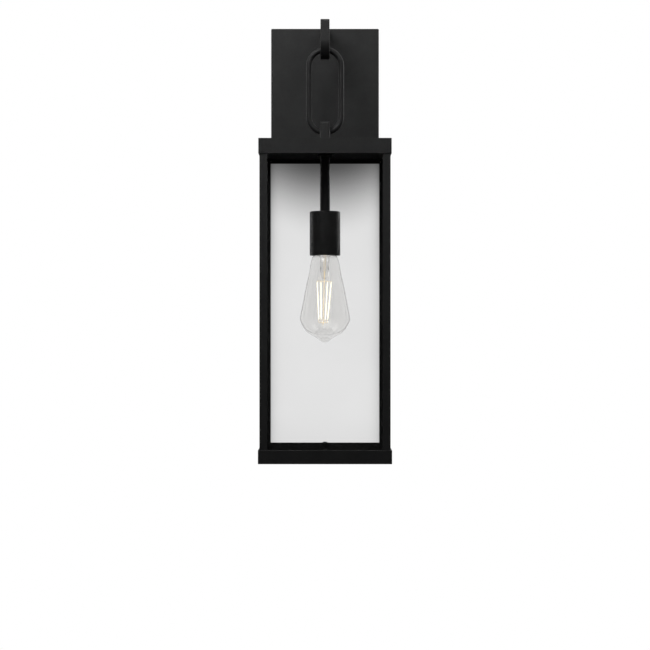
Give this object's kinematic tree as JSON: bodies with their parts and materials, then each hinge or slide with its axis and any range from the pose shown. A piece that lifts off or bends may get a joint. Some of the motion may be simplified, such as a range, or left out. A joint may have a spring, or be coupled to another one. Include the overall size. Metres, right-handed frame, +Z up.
{
  "type": "outdoor wall lantern",
  "caption": "Square black outdoor wall lantern with clear glass sides, an open bottom, a clear bulb, and a hook and oval link above its cap on a flat wall plate.",
  "frame": {"origin": "on the wall plane, behind the centre of the wall plate, at the rear face of the mounting bracket", "axes": "+Z up, -Y out from the wall towards the viewer, +X to the viewer's right"},
  "size_m": [0.166, 0.1875, 0.5626],
  "materials": {
    "black_frame": "matte black powder coat",
    "black_plate": "matte black powder coat",
    "black_hook": "matte black powder coat",
    "black_rod": "matte black powder coat",
    "black_screw": "black oxide, satin",
    "zinc": "zinc plated steel, satin",
    "pane_glass": "clear, polished, with green edges",
    "bulb_clear": "clear blown glass",
    "gasket_foam": "closed-cell foam, matte",
    "grommet_rubber": "moulded, matte",
    "porcelain": "glazed white",
    "shell_brass": "plain rolled brass",
    "base_nickel": "nickel plated, satin",
    "base_insulator": "fired black glass",
    "solder": "soft solder, dull",
    "lead_black": "insulation sleeve",
    "lead_white": "insulation sleeve",
    "ground_green": "insulation sleeve",
    "ground_screw": "green dyed zinc",
    "connector": "moulded, ribbed",
    "wire_gold": "fine drawn wire",
    "filament": "phosphor coated, glowing warm"
  },
  "bodies": {
    "lantern": {"wall_gasket": "gasket_foam", "mounting_bracket": "zinc", "bracket_set_screws": "black_screw", "ground_screw": "ground_screw", "ground_terminal": "zinc", "backplate": "black_plate", "hook_arm": "black_hook", "hook_washer": "zinc", "hook_nut": "zinc", "wire_grommet": "grommet_rubber", "cap_fixing_screws": "zinc", "cap_fixing_nuts": "zinc", "cap": "black_frame", "cap_standoffs": "zinc", "ceiling_plate": "black_frame", "top_frame_screws": "black_screw", "top_lug": "black_hook", "lug_nuts": "zinc", "post_front_left": "black_frame", "post_front_right": "black_frame", "post_rear_left": "black_frame", "post_rear_right": "black_frame", "bottom_rim": "black_frame", "bottom_frame_screws": "black_screw", "glass_front": "pane_glass", "glass_rear": "pane_glass", "glass_left": "pane_glass", "glass_right": "pane_glass", "glass_clips": "black_screw", "rod_nut": "zinc", "rod_collar": "black_rod", "socket_rod": "black_rod", "socket_cup": "black_rod", "socket_holder": "zinc", "socket_nut": "zinc", "socket_holder_screws": "zinc", "socket_body": "porcelain", "socket_screw_shell": "shell_brass", "socket_center_contact": "shell_brass", "socket_terminal_screws": "shell_brass", "lead_black": "lead_black", "lead_white": "lead_white", "ground_lead": "ground_green", "wire_connectors": "connector"},
    "link": {"suspension_link": "black_hook"},
    "bulb": {"bulb_base_shell": "base_nickel", "bulb_base_insulator": "base_insulator", "bulb_center_contact": "solder", "bulb_glass": "bulb_clear", "bulb_stem": "bulb_clear", "bulb_support_wires": "wire_gold", "bulb_filaments": "filament"}
  },
  "joints": [
    {"name": "link_swing", "type": "hinge", "parent": "lantern", "child": "link", "pos_m": [0, -0.1045, 0.0489], "axis": [1, 0, 0], "range_deg": [-1.5, 1.5]},
    {"name": "bulb_removal", "type": "slide", "parent": "lantern", "child": "bulb", "axis": [0, 0, -1], "range_m": [0, 0.03]}
  ]
}
